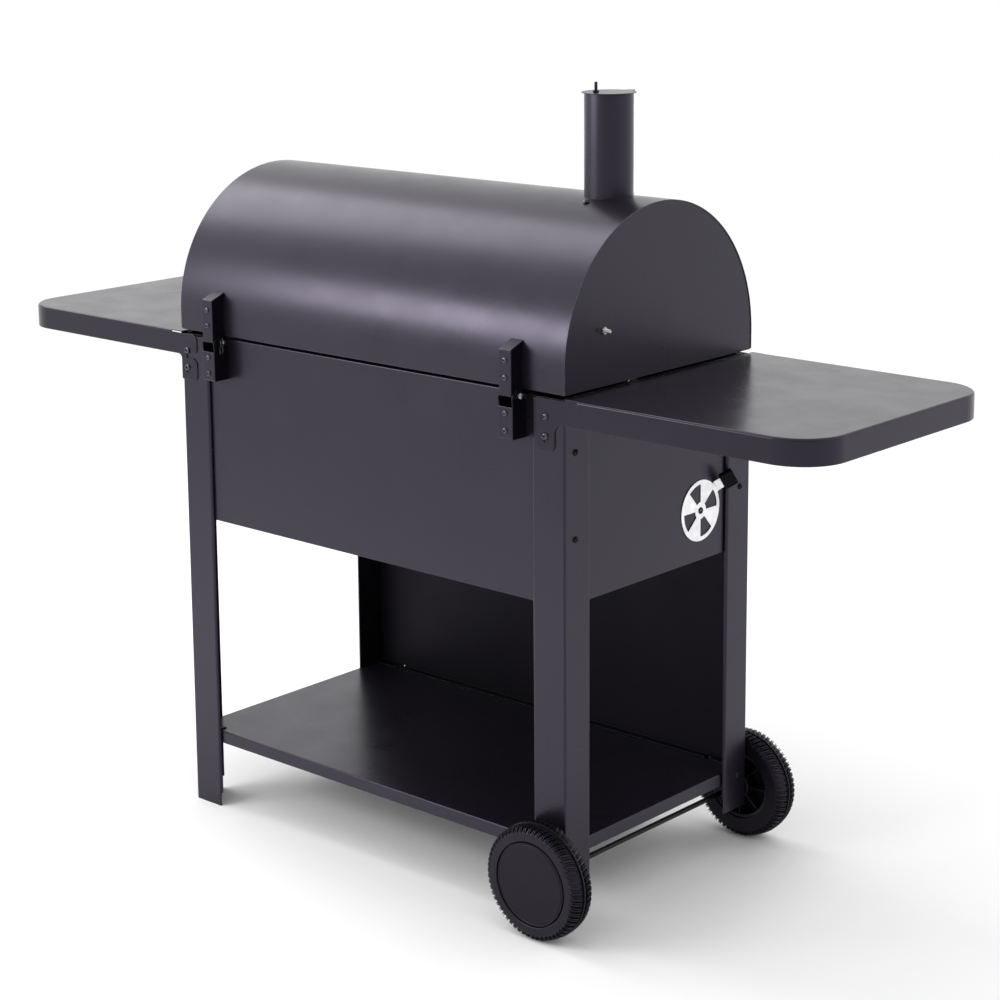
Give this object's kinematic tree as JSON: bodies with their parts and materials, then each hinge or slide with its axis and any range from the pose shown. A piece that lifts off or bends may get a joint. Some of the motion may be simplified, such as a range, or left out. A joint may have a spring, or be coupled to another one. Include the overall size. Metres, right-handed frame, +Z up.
{
  "type": "charcoal smoker cart",
  "caption": "Barrel-lid charcoal smoker on a wheeled leg frame, with a hinged lid, chimney, air vent, bottom shelf and two side tables.",
  "frame": {"origin": "on the ground, below the middle of the firebox", "axes": "+Z up, the lid opens from the front at -Y and hinges at +Y, the wheels are at the -X end"},
  "size_m": [1.63, 0.547, 1.209],
  "materials": {
    "powder_coat": "satin charcoal powder coat",
    "table_coat": "satin charcoal powder coat",
    "lid_coat": "satin charcoal powder coat",
    "hinge_coat": "satin charcoal powder coat",
    "inner_coat": "heat-proof matt black",
    "raw_steel": "galvanised sheet",
    "grate_enamel": "porcelain enamel",
    "fastener_steel": "black oxide",
    "zinc_steel": "zinc plated",
    "rack_chrome": "chromed wire",
    "vent_chrome": "bright plated sheet",
    "knob_plastic": "ribbed moulding",
    "rivet_black": "black",
    "grip_steel": "brushed stainless tube",
    "gauge_steel": "brushed stainless",
    "gauge_glass": "clear",
    "pad_rubber": "heat-proof rubber",
    "cap_coat": "satin charcoal powder coat",
    "wheel_plastic": "moulded tread",
    "wheel_cap_plastic": "moulded, satin"
  },
  "bodies": {
    "cart": {"leg_front_wheel_end": "powder_coat", "leg_rear_wheel_end": "powder_coat", "leg_front_foot_end": "powder_coat", "leg_rear_foot_end": "powder_coat", "bottom_shelf": "powder_coat", "lower_front_panel": "powder_coat", "box_front_panel": "powder_coat", "box_rear_panel": "powder_coat", "box_end_panel_vent": "powder_coat", "box_end_panel_plain": "powder_coat", "firebox_floor": "inner_coat", "grate_rails": "inner_coat", "ash_pan": "raw_steel", "charcoal_grate": "grate_enamel", "cooking_grate_left": "grate_enamel", "cooking_grate_right": "grate_enamel", "lid_rest_pads": "pad_rubber", "table_wheel_end": "table_coat", "table_foot_end": "table_coat", "table_bolts": "fastener_steel", "table_nuts": "fastener_steel", "leg_screws": "fastener_steel", "leg_screw_nuts": "fastener_steel", "hinge_box_leaves": "hinge_coat", "hinge_box_screws": "fastener_steel", "hinge_pins": "zinc_steel", "hinge_clips": "zinc_steel", "axle": "zinc_steel", "axle_spacers": "zinc_steel", "axle_push_nuts": "zinc_steel", "rack_link_pins": "zinc_steel", "vent_rivet": "rivet_black"},
    "lid": {"lid_shell": "lid_coat", "lid_end_wheel_side": "powder_coat", "lid_end_foot_side": "powder_coat", "hinge_lid_leaves": "hinge_coat", "hinge_lid_screws": "fastener_steel", "lid_handle_grip": "grip_steel", "lid_handle_brackets": "hinge_coat", "lid_handle_screws": "fastener_steel", "thermometer_case": "gauge_steel", "thermometer_lens": "gauge_glass", "thermometer_nut": "zinc_steel", "chimney_tube": "powder_coat", "chimney_flange": "powder_coat", "chimney_screws": "fastener_steel", "damper_post": "zinc_steel", "rack_studs": "zinc_steel"},
    "chimney_damper": {"chimney_cap": "cap_coat"},
    "warming_rack": {"warming_rack": "rack_chrome"},
    "rack_links": {"rack_link_wheel_side": "rack_chrome", "rack_link_foot_side": "rack_chrome"},
    "vent_damper": {"vent_disc": "vent_chrome", "vent_knob": "knob_plastic"},
    "wheel_front": {"wheel_front": "wheel_plastic", "wheel_cap_front": "wheel_cap_plastic"},
    "wheel_rear": {"wheel_rear": "wheel_plastic", "wheel_cap_rear": "wheel_cap_plastic"}
  },
  "joints": [
    {"name": "lid_hinge", "type": "hinge", "parent": "cart", "child": "lid", "pos_m": [0, 0.2285, 0.786], "axis": [-1, 0, 0], "range_deg": [0, 88]},
    {"name": "rack_on_lid", "type": "hinge", "parent": "lid", "child": "warming_rack", "pos_m": [0, 0.134, 0.874], "axis": [-1, 0, 0], "range_deg": [-88, 0]},
    {"name": "rack_link_pivot", "type": "hinge", "parent": "cart", "child": "rack_links", "pos_m": [0, 0.0785, 0.766], "axis": [-1, 0, 0], "range_deg": [0, 88]},
    {"name": "chimney_damper_swivel", "type": "hinge", "parent": "lid", "child": "chimney_damper", "pos_m": [-0.294, 0.0225, 1.193], "axis": [0, 0, 1], "range_deg": [0, 120]},
    {"name": "vent_damper_turn", "type": "hinge", "parent": "cart", "child": "vent_damper", "pos_m": [-0.394, -0.102, 0.5645], "axis": [-1, 0, 0], "range_deg": [0, 45]},
    {"name": "wheel_front_spin", "type": "hinge", "parent": "cart", "child": "wheel_front", "pos_m": [-0.377, -0.251, 0.086], "axis": [0, 1, 0], "continuous": true},
    {"name": "wheel_rear_spin", "type": "hinge", "parent": "cart", "child": "wheel_rear", "pos_m": [-0.377, 0.251, 0.086], "axis": [0, 1, 0], "continuous": true}
  ],
  "couplings": [
    {"joint": "rack_on_lid", "follows": "lid_hinge", "ratio": -1},
    {"joint": "rack_link_pivot", "follows": "lid_hinge", "ratio": 1}
  ]
}
